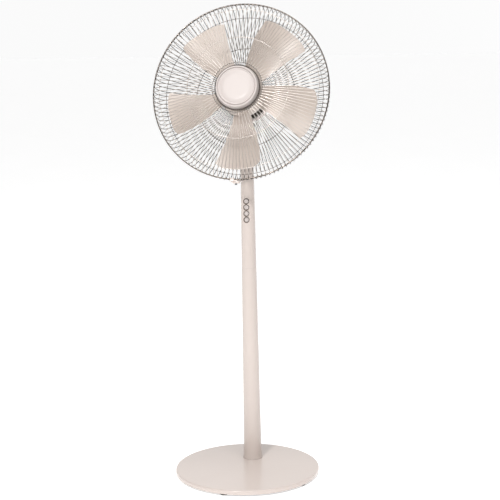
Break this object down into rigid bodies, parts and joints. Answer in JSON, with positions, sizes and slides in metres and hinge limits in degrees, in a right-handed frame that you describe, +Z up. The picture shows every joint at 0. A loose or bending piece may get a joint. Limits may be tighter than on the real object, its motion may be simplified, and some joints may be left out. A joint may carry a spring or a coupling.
{
  "type": "pedestal fan",
  "caption": "Pedestal fan with a round base, a slim tapered column with push buttons, and a turning, tilting head in a wire guard.",
  "frame": {"origin": "centre of the round base, on the floor under its rubber feet", "axes": "+Z up, -Y the way the fan blows, +X to the right seen from the front's viewer at -Y"},
  "size_m": [0.4046, 0.3347, 1.0833],
  "materials": {
    "gloss_shell": "glossy moulded plastic, warm off-white",
    "blade_plastic": "satin moulded plastic, greige",
    "cap_plastic": "satin moulded plastic, off-white",
    "dark_plastic": "matte moulded plastic, nearly black",
    "grey_plastic": "matte moulded plastic, grey",
    "guard_wire": "powder-coated steel wire, pale silver",
    "steel": "plain steel",
    "black_rubber": "matte rubber",
    "circuit_board": "solder-masked board",
    "copper_winding": "varnished copper winding on laminations",
    "bronze": "sintered bronze"
  },
  "bodies": {
    "stand": {"base_cover": "gloss_shell", "base_weight": "steel", "rubber_foot_1": "black_rubber", "rubber_foot_2": "black_rubber", "rubber_foot_3": "black_rubber", "rubber_foot_4": "black_rubber", "rubber_foot_5": "black_rubber", "cord_inlet_bush": "black_rubber", "inner_pole": "steel", "pole_flange": "steel", "flange_screw_1": "steel", "flange_screw_2": "steel", "flange_screw_3": "steel", "lower_column": "gloss_shell", "upper_column": "gloss_shell", "column_joiner": "grey_plastic", "control_board": "circuit_board", "button_spring_1": "steel", "button_spring_2": "steel", "button_spring_3": "steel", "button_spring_4": "steel", "oscillation_motor": "steel", "neck_bush": "bronze"},
    "button_1": {"button_1": "cap_plastic"},
    "button_2": {"button_2": "cap_plastic"},
    "button_3": {"button_3": "cap_plastic"},
    "button_4": {"button_4": "cap_plastic"},
    "pinion": {"oscillation_pinion": "cap_plastic"},
    "neck": {"neck_spindle": "steel", "neck_post": "gloss_shell", "tilt_pin": "steel", "tilt_nut": "steel"},
    "head": {"motor_front_plate": "dark_plastic", "motor_housing": "gloss_shell", "housing_screw": "steel", "motor_bracket": "steel", "motor_stator": "copper_winding", "bearing_bridge": "steel", "front_bearing": "steel", "rear_bearing": "steel", "rear_guard": "guard_wire", "guard_nut": "grey_plastic", "front_guard": "guard_wire", "front_cap": "cap_plastic", "cap_retainer": "grey_plastic", "guard_clip": "gloss_shell", "clip_screw": "steel"},
    "rotor": {"motor_rotor": "steel", "motor_shaft": "steel", "propeller": "blade_plastic", "spinner_nut": "blade_plastic", "drive_pin": "steel"}
  },
  "joints": [
    {"name": "oscillation", "type": "hinge", "parent": "stand", "child": "neck", "pos_m": [0, 0.064, 0.744], "axis": [0, 0, 1], "range_deg": [-40, 40]},
    {"name": "pinion_turn", "type": "hinge", "parent": "stand", "child": "pinion", "pos_m": [0, 0.0598, 0.709], "axis": [0, 0, 1], "range_deg": [-82, 82]},
    {"name": "tilt", "type": "hinge", "parent": "neck", "child": "head", "pos_m": [0, 0.064, 0.80791], "axis": [1, 0, 0], "range_deg": [-4, 18]},
    {"name": "fan_spin", "type": "hinge", "parent": "head", "child": "rotor", "pos_m": [0, 0.064, 0.871], "axis": [0, 0.9511, -0.309], "continuous": true},
    {"name": "button_1_press", "type": "slide", "parent": "stand", "child": "button_1", "axis": [0, 1, 0], "range_m": [0, 0.0022], "stiffness_N_per_m": 250, "springref_m": -0.002, "deforming": ["button_spring_1"]},
    {"name": "button_2_press", "type": "slide", "parent": "stand", "child": "button_2", "axis": [0, 1, 0], "range_m": [0, 0.0022], "stiffness_N_per_m": 250, "springref_m": -0.002, "deforming": ["button_spring_2"]},
    {"name": "button_3_press", "type": "slide", "parent": "stand", "child": "button_3", "axis": [0, 1, 0], "range_m": [0, 0.0022], "stiffness_N_per_m": 250, "springref_m": -0.002, "deforming": ["button_spring_3"]},
    {"name": "button_4_press", "type": "slide", "parent": "stand", "child": "button_4", "axis": [0, 1, 0], "range_m": [0, 0.0022], "stiffness_N_per_m": 250, "springref_m": -0.002, "deforming": ["button_spring_4"]}
  ],
  "couplings": [
    {"joint": "pinion_turn", "follows": "oscillation", "ratio": 2}
  ]
}
